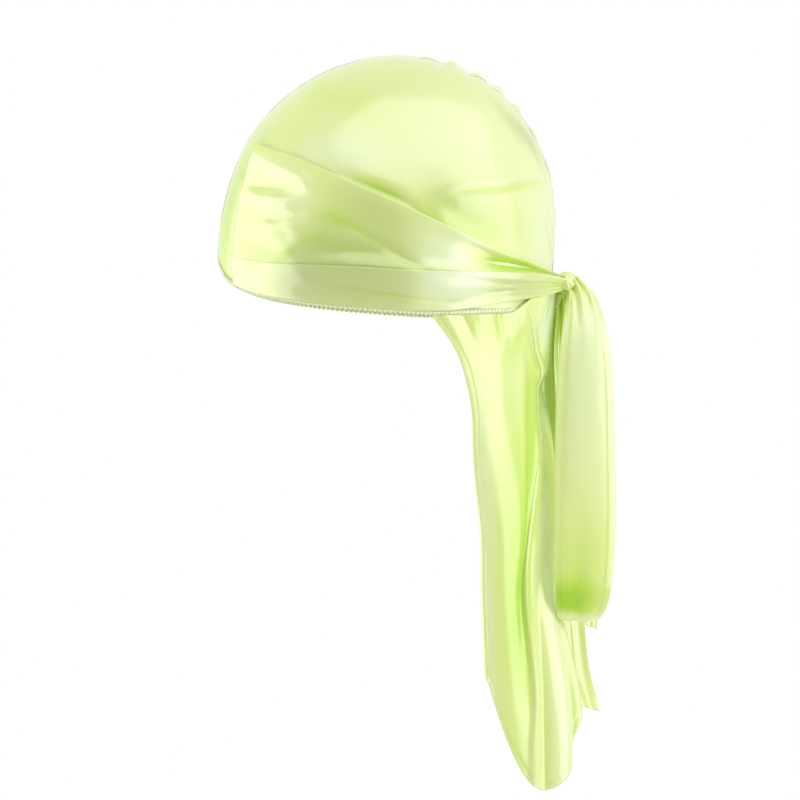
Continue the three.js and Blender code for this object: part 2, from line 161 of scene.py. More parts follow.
class Value:
    """A number that varies over a surface, with its arithmetic."""

    def __init__(self, finish, socket):
        self.finish = finish
        self.socket = socket

    def through(self, operation, *others):
        """What a Math node makes of this value and any others."""
        return self.finish.maths(operation, self, *others)

    def __add__(self, other):
        return self.through("ADD", other)

    def __sub__(self, other):
        return self.through("SUBTRACT", other)

    def __rsub__(self, other):
        return self.finish.maths("SUBTRACT", other, self)

    def __mul__(self, other):
        return self.through("MULTIPLY", other)

    def __truediv__(self, other):
        return self.through("DIVIDE", other)

    __radd__ = __add__
    __rmul__ = __mul__


class Finish:
    """A material whose nodes are wired in code."""

    def __init__(self, name):
        self.material = bpy.data.materials.new(name)
        self.material.use_nodes = True
        self.tree = self.material.node_tree
        self.tree.nodes.clear()

    def node(self, kind, settings, sockets, output=0):
        made = self.tree.nodes.new(kind)
        for key, value in settings.items():
            setattr(made, key, value)
        for key, value in sockets.items():
            if isinstance(value, Value):
                self.tree.links.new(value.socket, made.inputs[key])
            else:
                made.inputs[key].default_value = value
        return Value(self, made.outputs[output]) if len(made.outputs) else None

    def maths(self, operation, *values):
        return self.node("ShaderNodeMath", {"operation": operation}, dict(enumerate(values)))

    def attribute(self, name):
        return self.node("ShaderNodeAttribute", {"attribute_name": name}, {}, output="Fac")

    def noise(self, place, scale, detail=2.0):
        stretched = self.node("ShaderNodeMapping", {}, {"Vector": place, "Scale": scale})
        return self.node("ShaderNodeTexNoise", {}, {"Vector": stretched, "Scale": 1.0, "Detail": detail})

    def mixed(self, share, first, second):
        clamp = {"data_type": "RGBA", "clamp_factor": True}
        return self.node("ShaderNodeMix", clamp, {0: share, 6: first, 7: second}, output=2)

    def surface(self, height, sockets):
        bump = self.node("ShaderNodeBump", {}, {"Strength": 1.0, "Distance": 1.0, "Height": height})
        shader = self.node("ShaderNodeBsdfPrincipled", {}, {**sockets, "Normal": bump})
        self.node("ShaderNodeOutputMaterial", {}, {"Surface": shader})


satin = Finish("lime_satin")
cloth_place = satin.node("ShaderNodeUVMap", {"uv_map": "cloth"}, {})
object_place = satin.node("ShaderNodeTexCoord", {}, {}, output="Object")
across_cloth = satin.node("ShaderNodeSeparateXYZ", {}, {"Vector": cloth_place}, output=0)
down_cloth = satin.node("ShaderNodeSeparateXYZ", {}, {"Vector": cloth_place}, output=1)
floats = satin.noise(cloth_place, (1 / float_width, 1 / float_length, 1), detail=1.0)
weave_turn = 2 * math.pi / weave_pitch
weave = (across_cloth * weave_turn).through("SINE") * (down_cloth * weave_turn).through("SINE")
stitch_line = (satin.attribute("seam") / stitch_width).through("ABSOLUTE").through("LESS_THAN", 1.0)
stitch_dash = (satin.attribute("stitch") / stitch_pitch).through("FRACT").through("LESS_THAN", stitch_share)
stitches = stitch_line * stitch_dash
# The fold attribute is painted light: below zero it is painted shade in folds and valleys, above zero a painted
# highlight on crests.
fold = satin.attribute("fold")
patch = satin.noise(object_place, (22, 22, 9))
slub = satin.noise(cloth_place, (900, 25, 1))
# How deep the colour goes: random patches, slubs and stitches, plus painted shade from the fold attribute; past 1
# it reaches the darkest painted shade.
colour_depth_and_fold_shade = fold * -0.5 + (patch - 0.5) * 0.4 + (slub - 0.5) * 0.2 + stitches * 0.12
satin_colour = satin.mixed(colour_depth_and_fold_shade, satin_light, satin_deep_tone_and_fold_shade)
satin_colour = satin.mixed(colour_depth_and_fold_shade - 1.0, satin_colour, satin_darkest_fold_shade)
# Painted highlight: the pale crest colour where the fold attribute is above zero.
satin_colour = satin.mixed(fold * 0.5, satin_colour, satin_painted_highlight)
# Painted shade: the olive, where the shade attribute is set.
satin_colour = satin.mixed(satin.attribute("shade"), satin_colour, satin_shaded)
satin.surface(
    floats * float_height + weave * weave_height - stitches * stitch_dip,
    {
        "Base Color": satin_colour,
        "Roughness": satin_roughness + (slub - 0.5) * 0.1 + (patch - 0.5) * 0.06,
        "IOR": 1.5,
        "Specular IOR Level": 0.9,
        "Sheen Weight": 0.12,
        "Sheen Roughness": 0.4,
        "Sheen Tint": (0.9, 1.0, 0.6, 1),
        # The coat thins where the painted fold shade is deepest, so that little reflection lightens it.
        "Coat Weight": (1.6 - 0.6 * colour_depth_and_fold_shade).through("MINIMUM", 1.0),
        "Coat IOR": 1.95,
        "Coat Roughness": 0.19,
    },
)


def between(before, here, after, later, share):
    """A smooth curve's value, a share of the way from here to after."""
    bend = 2 * before - 5 * here + 4 * after - later
    twist = 3 * here - before - 3 * after + later
    return here + 0.5 * share * (after - before + share * (bend + share * twist))


def smooth(values, at, fold=0):
    """A column of a table as a smooth curve, at row numbers that may be fractions. Past the first row it is
    level, or with a fold of 1 or -1 it is mirrored, with its sign kept or turned."""
    values = np.asarray(values, float)
    last = len(values) - 1
    first = fold * values[1] if fold else values[0]
    padded = np.concatenate([[first], values, [values[last]]])
    row = np.clip(np.floor(at), 0, last - 1).astype(int)
    return between(*(padded[row + step] for step in range(4)), at - row)


def along(table, column, at, fold=0):
    return smooth([row[column] for row in table], at, fold)


def row_where(table, column, wanted, fold=0):
    """The row numbers at which a rising column reaches the wanted values."""
    rows = np.linspace(0, len(table) - 1, 2000)
    return np.interp(wanted, along(table, column, rows, fold), rows)


def mix(first, second, share):
    return first + (second - first) * share


def ease(value):
    share = np.clip(value, 0, 1)
    return share * share * (3 - 2 * share)


def unit(vectors):
    return vectors / np.maximum(np.linalg.norm(vectors, axis=-1, keepdims=True), 1e-12)


def facing(points):
    """The direction out of a grid of points, from its two directions across it."""
    return unit(np.cross(np.gradient(points, axis=0), np.gradient(points, axis=1)))


def lifted(points, height, direction=None):
    direction = facing(points) if direction is None else direction
    return points + direction * height[..., None]


def hump(past, width):
    return np.exp(-((past / width) ** 2))


def creases(run, beside, table):
    """The height in millimetres of a cloth's creases, each with its places and heights along the run, its width,
    and a width of its own for the side before it, if that is steeper or gentler."""
    height = np.zeros(np.broadcast(run, beside).shape)
    for crease in table:
        stops = len(crease["run"])
        row = np.interp(run, crease["run"], np.arange(stops))
        past = beside - smooth(np.broadcast_to(crease["at"], stops), row)
        width = np.where(past < 0, crease.get("before", crease["width"]), crease["width"])
        height += smooth(crease["height"], row) * hump(past, width)
    return height


def ripples(points, size, height):
    """Slight unevenness of cloth, the same on each run."""
    x, y, z = (points[..., axis] * (2 * math.pi / size) for axis in range(3))
    wave = np.sin(x + 0.7 * y + 1.3) * np.sin(0.8 * z - 0.5 * y) + 0.6 * np.sin(1.7 * y - 1.1 * z + 2.1)
    return height * (wave + 0.5 * np.sin(2.3 * z + 1.9 * x + 0.4) * np.sin(2.1 * y))


def cloth(name, columns, rows, shape, thickness=satin_thickness):
    """A sheet of cloth: a grid laid out by shape(across, down), which gives its points, its painted light (the
    fold
    value: painted shade below zero, painted highlight above), how deep it lies in painted shade, how far it lies
    from a line of stitches, and how far along that line."""
    grid = bmesh.new()
    bmesh.ops.create_grid(grid, x_segments=columns, y_segments=rows, size=0.5)
    mesh = bpy.data.meshes.new(name)
    grid.to_mesh(mesh)
    grid.free()
    count = len(mesh.vertices)
    flat = np.empty(count * 3)
    mesh.vertices.foreach_get("co", flat)
    flat = flat.reshape(-1, 3)
    column = np.rint((flat[:, 0] + 0.5) * columns).astype(int)
    row = np.rint((flat[:, 1] + 0.5) * rows).astype(int)
    across, down = np.meshgrid(np.linspace(0, 1, columns + 1), np.linspace(0, 1, rows + 1))
    made = shape(across, down)
    points = made["points"]
    mesh.vertices.foreach_set("co", points[row, column].ravel())
    for key, usual in (("fold", 0.0), ("shade", 0.0), ("seam", far_from_seam), ("stitch", 0.0)):
        values = np.broadcast_to(made.get(key, usual), across.shape)
        mesh.attributes.new(key, "FLOAT", "POINT").data.foreach_set("value", values[row, column].copy())
    run_across = np.linalg.norm(np.diff(points, axis=1), axis=2).sum(axis=1).mean()
    run_down = np.linalg.norm(np.diff(points, axis=0), axis=2).sum(axis=0).mean()
    corner = np.empty(len(mesh.loops), int)
    mesh.loops.foreach_get("vertex_index", corner)
    places = np.stack([(flat[corner, 0] + 0.5) * run_across, (flat[corner, 1] + 0.5) * run_down], axis=1)
    mesh.uv_layers.new(name="cloth").data.foreach_set("uv", places.ravel())
    mesh.shade_smooth()
    mesh.materials.append(satin.material)
    piece = placed(name, mesh)
    if thickness:
        wall = piece.modifiers.new("thickness", "SOLIDIFY")
        wall.thickness = thickness
        wall.offset = 0
    else:
        closed = bmesh.new()
        closed.from_mesh(mesh)
        bmesh.ops.remove_doubles(closed, verts=closed.verts, dist=1e-6)
        bmesh.ops.recalc_face_normals(closed, faces=closed.faces)
        closed.to_mesh(mesh)
        closed.free()
    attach(piece, "root")
    return piece


# Crown
# Two satin panels, sewn together over the middle of the head, drawn smooth over it by the tie bands. A few
# creases fan out from the temple and run along the band's upper edge towards the nape.
cloth_wall = 0.0012
seat = 0.0003
crown_low, crown_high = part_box("crown_panel_left")
crown_half_width = crown_high.x - cloth_wall - seat / 2
crown_front = -crown_low.y - cloth_wall
crown_rear = crown_high.y - cloth_wall
crown_depth = -crown_low.z
crown_rings = [
    dict(depth=0.0, front=0.0, rear=0.0, side=0.0),
    dict(depth=0.02, front=0.245, rear=0.225, side=0.26),
    dict(depth=0.08, front=0.46, rear=0.5, side=0.5),
    dict(depth=0.18, front=0.66, rear=0.71, side=0.72),
    dict(depth=0.31, front=0.815, rear=0.865, side=0.88),
    dict(depth=0.46, front=0.917, rear=0.966, side=0.965),
    dict(depth=0.62, front=0.977, rear=1.0, side=1.0),
    dict(depth=0.8, front=1.0, rear=0.991, side=0.985),
    dict(depth=1.0, front=0.985, rear=0.97, side=0.94),
]
rim_depths = [0.785, 0.872, 0.928, 0.962, 0.985, 1.0, 0.997, 0.988, 0.98, 0.977]
crown_columns = 170
crown_rows = 90
crown_lie = 0.0009
crown_creases = [
    dict(run=(106, 118, 134, 150, 166), at=(0.535, 0.53, 0.515, 0.50, 0.49),
         height=(0, -1.1, -1.3, -0.8, 0), width=0.010),
    dict(run=(104, 118, 134, 150, 168), at=(0.515, 0.51, 0.495, 0.48, 0.47),
         height=(0, 0.7, 0.8, 0.5, 0), width=0.012),
    dict(run=(4, 14, 28, 44), at=(0.43, 0.45, 0.46, 0.47), height=(0, -0.5, -0.5, 0), width=0.018),
    dict(run=(66, 76, 84, 92, 99), at=(0.46, 0.505, 0.54, 0.58, 0.62),
         height=(0, -1.2, -2.2, -1.6, 0), width=0.024),
    dict(run=(150, 158, 164, 170), at=(0.22, 0.34, 0.46, 0.58), height=(0, -0.6, -0.7, 0), width=0.025),
    dict(run=(158, 164, 170, 176), at=(0.56, 0.64, 0.72, 0.80), height=(0, 0.6, 0.7, 0), width=0.014),
    dict(run=(154, 161, 168, 174), at=(0.60, 0.68, 0.76, 0.83), height=(0, -0.6, -0.8, 0), width=0.014),
    dict(run=(100, 112, 128, 146), at=(0.58, 0.64, 0.71, 0.77), height=(0, -1.0, -0.9, 0), width=0.04),
    dict(run=(30, 60, 90, 120), at=(0.26, 0.29, 0.31, 0.33), height=(0, -0.5, -0.4, 0), width=0.06),
    dict(run=(20, 45, 70, 95), at=(0.12, 0.17, 0.22, 0.24), height=(0, -0.5, -0.4, 0), width=0.04),
]
# Painted light on the crown: below zero painted shade in creases, beside the seam and at the front, above zero
# painted highlight over the dome.
crown_painted_light = [
    dict(run=(142, 152, 166, 178), at=(0.22, 0.28, 0.34, 0.40), height=(0, -0.9, -0.9, 0), width=0.08),
    dict(run=(104, 120, 138, 152, 164), at=(0.545, 0.54, 0.525, 0.51, 0.50),
         height=(0, -1.0, -1.1, -0.8, 0), width=0.016),
    dict(run=(92, 104, 128, 150), at=(0.66, 0.66, 0.68, 0.70), height=(0, -1.5, -1.4, 0), width=0.12),
    dict(run=(44, 64, 130, 168), at=0.36, height=(0, 0.6, 0.9, 0.6), width=0.2),
    dict(run=(128, 142, 162, 176), at=0.70, height=(0, 0.8, 1.0, 0.6), width=0.2),
    dict(run=(70, 78, 86, 94), at=(0.49, 0.52, 0.55, 0.60), height=(0, -1.4, -1.6, 0), width=0.04),
    dict(run=(20, 45, 70, 92), at=(0.10, 0.14, 0.19, 0.22), height=(-0.3, -0.6, -0.5, 0), width=0.06),
    dict(run=(46, 58, 80, 92), at=(0.36, 0.38, 0.40, 0.42), height=(0, 0.5, 0.5, 0), width=0.07),
    dict(run=(0, 8, 28, 44), at=0.60, height=(-2.2, -2.6, -2.0, 0), width=0.3),
]
crown_shades = [
    dict(run=(140, 150, 164, 176), at=(0.22, 0.27, 0.34, 0.42), height=(0, 0.5, 0.6, 0), width=0.075),
    dict(run=(4, 16, 30, 42), at=0.50, height=(0.1, 0.25, 0.2, 0), width=0.3),
    dict(run=(94, 106, 124, 148), at=(0.55, 0.57, 0.62, 0.70), height=(0, 0.4, 0.3, 0), width=0.1),
]
crown_ripple_length = 0.07
crown_ripple_height = 0.00018
pucker_reach = 0.034
pucker_depth = 0.07
pucker_fade = 0.03
puckers = [
    dict(back=0.011, height=-0.5, width=0.0035),
    dict(back=0.026, height=-1.1, width=0.0028),
    dict(back=0.0415, height=-1.2, width=0.0030),
    dict(back=0.054, height=-0.9, width=0.0028),
    dict(back=0.064, height=-0.6, width=0.0030),
    dict(back=-0.03, height=-0.25, width=0.006),
    dict(back=0.0185, height=0.5, width=0.005),
    dict(back=0.034, height=0.6, width=0.005),
    dict(back=0.048, height=0.5, width=0.004),
]


def crown_point(azimuth, ring):
    """The crown's inner face, by azimuth in degrees from the forehead over the wearer's left, and ring number."""
    sine, cosine = np.sin(np.radians(azimuth)), np.cos(np.radians(azimuth))
    front = crown_front * along(crown_rings, "front", ring, -1)
    rear = crown_rear * along(crown_rings, "rear", ring, -1)
    side = crown_half_width * along(crown_rings, "side", ring, -1)
    height = -crown_depth * along(crown_rings, "depth", ring, 1)
    return np.stack(np.broadcast_arrays(side * sine, -np.where(cosine > 0, front, rear) * cosine, height), axis=-1)


def crown_facing(azimuth, ring):
    step = 1e-3
    at = np.maximum(ring, step)
    sideways = crown_point(azimuth + step, at) - crown_point(azimuth - step, at)
    downwards = crown_point(azimuth, at + step) - crown_point(azimuth, at - step)
    return unit(np.cross(downwards, sideways))


def crown_out(azimuth, ring, distance):
    return crown_point(azimuth, ring) + crown_facing(azimuth, ring) * np.asarray(distance)[..., None]


def ring_at(depth):
    return row_where(crown_rings, "depth", depth, 1)


def rim_depth(azimuth):
    round_share = (180 - np.abs(180 - azimuth % 360)) / 180
    return smooth(rim_depths, round_share * (len(rim_depths) - 1), 1)


def rim_ring(azimuth):
    return ring_at(rim_depth(azimuth))


def seam_puckers(points):
    """Short puckers across the top of the crown, where the seam draws the cloth up."""
    near_seam = 1 - ease(np.abs(points[..., 0]) / pucker_reach)
    near_top = ease((points[..., 2] + pucker_depth) / pucker_fade)
    height = sum(row["height"] * hump(points[..., 1] - row["back"], row["width"]) for row in puckers)
    return height * near_seam * near_top


def crown_shape(side):
    middle_ring = 7.4

    def shape(across, down):
        u, v = 2 * across - 1, down
        front, out = -u * np.sqrt(1 - v * v / 2), v * np.sqrt(1 - u * u / 2)
        share = np.hypot(front, out)
        azimuth = np.degrees(np.arctan2(out, front))
        ring = share * mix(middle_ring, rim_ring(azimuth), share**2)
        depth = along(crown_rings, "depth", ring, 1)
        base = crown_point(azimuth, ring)
        fold = creases(azimuth, depth, crown_creases) + seam_puckers(base)
        height = crown_lie + millimetre * fold + ripples(base, crown_ripple_length, crown_ripple_height)
        points = crown_out(azimuth, ring, height)
        points[..., 0] = side * np.maximum(points[..., 0], seat / 2)
        # The creases and puckers also set the colour: painted shade in their hollows, painted highlight on their
        # ridges, with the crown's painted light added.
        tone = creases(azimuth, depth, crown_painted_light)
        return dict(points=points, fold=fold * 0.3 + tone, shade=creases(azimuth, depth, crown_shades))

    return shape


crown_left = cloth("crown_left", crown_columns, crown_rows, crown_shape(1))
crown_right = cloth("crown_right", crown_columns, crown_rows, crown_shape(-1))
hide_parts("crown_panel_left")
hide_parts("crown_panel_right")

# Hem edging
# The crown's rim is overlocked: its raw edge is rolled under and wound with lime thread in close stitches that
# cross each other on the face.
thread_colour = (0.92, 0.99, 0.64, 1)
thread_light = (0.97, 1.0, 0.80, 1)
thread_twist = 0.0007
hem_height = 0.0022
hem_thickness = 0.0017
hem_overlap = 1.15
hem_fullness = 0.8
hem_turns = 224
hem_points = 10
thread_radius = 0.00028
thread_reach = 0.6

thread = Finish("overlock_thread")
object_place = thread.node("ShaderNodeTexCoord", {}, {}, output="Object")
ply = thread.noise(object_place, (1 / thread_twist,) * 3, detail=1.0)
tone = thread.noise(object_place, (60, 60, 60))
thread.surface(
    ply * 0.0001,
    {
        "Base Color": thread.mixed(ply * 0.5 + tone * 0.5, thread_colour, thread_light),
        "Roughness": 0.45 + tone * 0.2,
        "Sheen Weight": 0.3,
    },
)


def past_rim(azimuth, beyond, distance):
    """A point past the rim, so far along the crown's face and so far out from it."""
    ring = rim_ring(azimuth)
    way = unit(crown_point(azimuth, ring) - crown_point(azimuth, ring - 1e-3))
    return crown_out(azimuth, ring, distance) + way * np.asarray(beyond)[..., None]


def threads(name, routes, radius, closed=False):
    """Lengths of thread, each along its route."""
    curve = bpy.data.curves.new(name, "CURVE")
    curve.dimensions = "3D"
    curve.bevel_depth = radius
    curve.bevel_resolution = 1
    for route in routes:
        line = curve.splines.new("POLY")
        line.points.add(len(route) - 1)
        line.points.foreach_set("co", np.column_stack([route, np.ones(len(route))]).ravel())
        line.use_cyclic_u = closed
    laid = placed(name, curve)
    mesh = bpy.data.meshes.new_from_object(laid.evaluated_get(bpy.context.evaluated_depsgraph_get()))
    mesh.name = name
    bpy.data.objects.remove(laid)
    mesh.shade_smooth()
    mesh.materials.append(thread.material)
    piece = placed(name, mesh)
    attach(piece, "root")
    return piece


def hem_roll(across, down):
    azimuth = 360 * down
    angle = 2 * math.pi * across
    beyond = hem_height / 2 * (1 + hem_overlap * np.cos(angle))
    distance = hem_thickness / 2 * (1 + hem_fullness * np.sin(angle))
    points = past_rim(azimuth, beyond, distance)
    points[-1] = points[0]
    points[:, -1] = points[:, 0]
    # The whole roll is painted pale with the painted highlight colour, against the shade under the crown's edge.
    return dict(points=points, fold=1.4)


def hem_thread(direction, start):
    turns = np.arange(hem_turns * hem_points) / hem_points
    azimuth = 360 * (turns / hem_turns)
    angle = direction * 2 * math.pi * turns + start
    beyond = hem_height / 2 + (thread_reach * hem_height + thread_radius) * np.cos(angle)
    distance = hem_thickness / 2 + (hem_fullness * hem_thickness / 2 + thread_radius) * np.sin(angle)
    return past_rim(azimuth, beyond, distance)


hem = cloth("hem_roll", 10, 360, hem_roll, thickness=None)
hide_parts("hem_edging")
threads("hem_threads", [hem_thread(1, 0), hem_thread(-1, 1.6)], thread_radius, closed=True)

# Centre seam
# The panels' joined edges, overlocked together and left on the outside. The allowance lies over to the wearer's
# left and ruffles where the crown curves down to the nape.
seam_width = 0.007
seam_lie = 0.0001
seam_curve = 0.05
seam_overlap = 0.0012
seam_stitches = 0.35
centre_seam_length = 0.38
allowance_thickness = 0.0002
tight_share = 0.5
slack_from = -0.35
slack_run = 0.5
ruffle_height = 0.0024
ruffles = [
    dict(at=0.10, height=0.4, width=0.030),
    dict(at=0.175, height=1.0, width=0.026),
    dict(at=0.25, height=0.7, width=0.018),
    dict(at=0.33, height=1.0, width=0.024),
    dict(at=0.41, height=0.7, width=0.020),
    dict(at=0.50, height=0.4, width=0.022),
    dict(at=0.62, height=0.2, width=0.03),
    dict(at=0.78, height=0.3, width=0.03),
]
overlock_turns = 190
overlock_points = 8
overlock_bite = 0.0032
overlock_height = 0.0002
overlock_thread = 0.6 * thread_radius


def crown_seam_place(past_top, out, beside):
    """A place on the seam allowance: -1 at the forehead's rim, 0 on top, 1 at the nape's rim."""
    azimuth = np.where(past_top < 0, 0.0, 180.0)
    ring = np.abs(past_top) * np.where(past_top < 0, rim_ring(np.array(0.0)), rim_ring(np.array(180.0)))
    ruffle = sum(row["height"] * hump(past_top - row["at"], row["width"]) for row in ruffles)
    share = np.clip(beside / seam_width, 0, 1)
    slack = ease((past_top - slack_from) / slack_run)
    width = (beside - seam_overlap) * mix(tight_share, 1, slack)
    rise = ruffle_height * ruffle * np.sin(math.pi * share) - width**2 / (2 * seam_curve)
    rise = rise + millimetre * seam_puckers(crown_point(azimuth, ring))
    points = crown_out(azimuth, ring, cloth_wall + seam_lie + out + rise)
    points[..., 0] += width
    return points


def crown_seam(across, down):
    points = crown_seam_place(2 * down - 1, 0.0 * down, seam_width * across)
    seam = seam_width * (across - seam_stitches)
    # The allowance is painted pale with the painted highlight colour, against the shade under its edge.
    return dict(points=points, fold=1.2, seam=seam, stitch=down * centre_seam_length)


def crown_overlock():
    """The route of the thread that is wound over the allowance's raw edge."""
    turns = np.arange(overlock_turns * overlock_points + 1) / overlock_points
    angle = 2 * math.pi * turns
    beside = seam_width - overlock_bite / 2 + overlock_bite / 2 * np.cos(angle)
    return crown_seam_place(2 * (turns / overlock_turns) - 1, overlock_height * np.sin(angle), beside)


centre_seam = cloth(
    "centre_seam_allowance", 8, 420, crown_seam, thickness=allowance_thickness
)
centre_seam_threads = threads("centre_seam_threads", [crown_overlock()], overlock_thread)
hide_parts("centre_seam")

# Tie bands
# Each band starts wide at the temple, where it is sewn to the crown, and is drawn back to the nape. It falls into
# one deep pleat whose edge lies over the rest, with slack creases above and below it, and its top edge is rolled.
band_sections = [
    dict(azimuth=25, top=0.36, short=-0.004, lift=0.0, fold=0.80, lap=0.3, gather=0.0),
    dict(azimuth=52, top=0.42, short=-0.004, lift=0.0, fold=0.75, lap=0.9, gather=0.0),
    dict(azimuth=73, top=0.51, short=-0.004, lift=0.0, fold=0.68, lap=1.0, gather=0.0),
    dict(azimuth=91, top=0.6, short=-0.004, lift=0.0, fold=0.61, lap=1.0, gather=0.1),
    dict(azimuth=110, top=0.69, short=0.0, lift=0.0, fold=0.52, lap=1.0, gather=0.3),
    dict(azimuth=130, top=0.775, short=0.022, lift=0.02, fold=0.39, lap=1.0, gather=0.6),
    dict(azimuth=148, top=0.82, short=0.035, lift=0.14, fold=0.27, lap=0.9, gather=0.9),
    dict(azimuth=162, top=0.845, short=0.048, lift=0.42, fold=0.2, lap=0.7, gather=1.0),
    dict(azimuth=174, top=0.86, short=0.067, lift=0.9, fold=0.16, lap=0.5, gather=1.0),
]
band_lift = 0.007
band_lie = cloth_wall + seat + 0.0003
band_columns = 230
band_rows = 150
lap_depth = 0.055
lap_height = 0.0016
lap_crest = 0.0026
roll_height = 0.0013
band_creases = [
    dict(
        run=(58, 66, 74, 82, 92, 104),
        at=(0.40, 0.34, 0.33, 0.39, 0.5, 0.57),
        height=(0, -0.3, -0.5, -0.8, -1.0, -0.3),
        width=0.06,
    ),
    dict(
        run=(46, 56, 68, 80, 92, 100),
        at=(0.74, 0.66, 0.585, 0.52, 0.55, 0.58),
        height=(0, -0.5, -0.6, -0.4, -0.3, 0),
        width=0.05,
    ),
    dict(run=(40, 54, 68, 86), at=(0.58, 0.53, 0.47, 0.45), height=(0, 0.4, 0.4, 0), width=0.06),
    dict(run=(66, 76, 90, 106, 116), at=(0.83, 0.84, 0.86, 0.88, 0.9),
         height=(0, -0.6, -0.9, -0.8, 0), width=0.025),
    dict(run=(25, 36, 48, 58), at=(0.26, 0.24, 0.20, 0.17), height=(-0.3, -0.9, -0.8, 0), width=0.02),
    dict(run=(25, 38, 50, 62), at=(0.34, 0.32, 0.28, 0.25), height=(0, 0.6, 0.7, 0), width=0.03),
    dict(run=(36, 46, 56, 66), at=(0.45, 0.43, 0.39, 0.35), height=(0, -0.8, -0.9, 0), width=0.018),
    dict(run=(30, 40, 50, 58), at=(0.52, 0.51, 0.49, 0.47), height=(0, 0.5, 0.6, 0), width=0.025),
    dict(run=(25, 34, 44, 52), at=(0.66, 0.67, 0.67, 0.67), height=(0, -0.3, -0.6, 0), width=0.03),
    dict(run=(30, 44, 56, 64), at=(0.08, 0.1, 0.12, 0.14), height=(0.6, 1.6, 1.8, 0), width=0.07),
    dict(run=(28, 40, 50, 57), at=(0.36, 0.35, 0.34, 0.33), height=(0.6, 1.3, 1.4, 0), width=0.05),
    dict(run=(26, 38, 45, 52), at=(0.56, 0.56, 0.55, 0.55), height=(0.4, 1.2, 1.2, 0), width=0.05),
    dict(run=(26, 36, 44, 52), at=(0.88, 0.89, 0.90, 0.90), height=(0.4, 1.0, 1.0, 0), width=0.07),
    dict(run=(112, 124, 140, 156, 170), at=(0.36, 0.27, 0.17, 0.1, 0.06),
         height=(0, -1.4, -2.0, -1.6, -0.6), width=0.08),
    dict(run=(128, 140, 154, 174), at=(0.62, 0.56, 0.5, 0.5), height=(0, -0.5, -0.8, -0.8), width=0.045),
    dict(run=(118, 134, 152, 174), at=(0.78, 0.75, 0.72, 0.7), height=(0, -0.4, -0.7, -0.8), width=0.04),
]
# Painted light on the bands: painted shade in grooves and in the hollow beside the knot, painted highlight on the
# lower strap where the rear lamp catches it.
band_painted_light = [
    dict(run=(40, 60, 80, 92, 102), at=(0.5, 0.45, 0.45, 0.5, 0.5), height=(0, -0.5, -0.6, -0.2, 0), width=0.4),
    dict(run=(88, 104, 118, 128), at=(0.5, 0.5, 0.5, 0.5), height=(0, 1.8, 1.9, 0), width=0.5),
    dict(run=(112, 124, 140, 156), at=(0.30, 0.22, 0.12, 0.06), height=(0, -2.6, -3.0, 0), width=0.15),
    dict(run=(24, 34, 42, 50), at=(0.4, 0.4, 0.4, 0.4), height=(-1.3, -1.2, -0.4, 0), width=0.7),
    dict(run=(48, 54, 60, 68), at=(0.38, 0.34, 0.26, 0.22), height=(0, 0.8, 0.8, 0), width=0.14),
    dict(run=(46, 52, 60, 74, 90), at=(0.76, 0.68, 0.53, 0.53, 0.56),
         height=(0, -1.3, -1.5, -1.2, 0), width=0.05),
    dict(run=(60, 68, 76, 84), at=(0.36, 0.32, 0.34, 0.42), height=(0, -1.1, -1.1, 0), width=0.05),
    dict(run=(62, 72, 86, 98), at=(0.83, 0.84, 0.86, 0.87), height=(0, -1.1, -1.1, 0), width=0.04),
]
band_shades = [
    dict(run=(64, 73, 82, 94, 104), at=0.12, height=(0, 0.25, 0.4, 0.15, 0), width=0.2),
    dict(run=(48, 56, 68, 90, 104), at=(0.76, 0.72, 0.6, 0.55, 0.55),
         height=(0, 0.55, 0.65, 0.55, 0), width=0.31),
    dict(run=(44, 49, 66, 90, 100), at=0.93, height=(0, 0.4, 0.4, 0.35, 0), width=0.22),
    dict(run=(122, 130, 142, 156, 168), at=(0.75, 0.72, 0.7, 0.7, 0.7),
         height=(0, 0.45, 0.5, 0.3, 0.1), width=0.4),
]
gather_creases = 4
gather_depth = 0.00025
band_ripple_length = 0.045
band_ripple_height = 0.00012
crest_above = 0.1
crest_below = 0.32
shadow_above = 0.03
shadow_width = 0.06
pleat_edge_stop = 7.5


def band_profile(fold, lap):
    """The band's cross-section: shares down and heights of the places that its cloth passes through, from the top
    edge, down under the pleat, back up inside it, over its edge and down to the lower edge."""
    hidden = lap_depth * lap
    zero = 0 * fold
    down = [
        zero + 0.012, zero - 0.004, zero + 0.008, fold * 0.33, fold * 0.66, fold - 0.02,
        fold + hidden, fold + hidden + 0.004 * lap, fold + 0.01, fold - 0.006 * lap, fold + 0.012,
        mix(fold, 1, 0.3), mix(fold, 1, 0.6), mix(fold, 1, 0.94), zero + 1.0,
    ]
    height = [
        zero - 0.0002, zero + roll_height * 0.6, zero + roll_height, zero + 0.0002, zero, zero,
        zero, lap_height * 0.25 * lap, lap_height * 0.5 * lap, lap_height * 0.85 * lap, lap_height * lap,
        lap_height * 0.75 * lap + 0.0002, lap_height * 0.35 * lap, zero + 0.0002, zero - 0.0001,
    ]
    return down, height


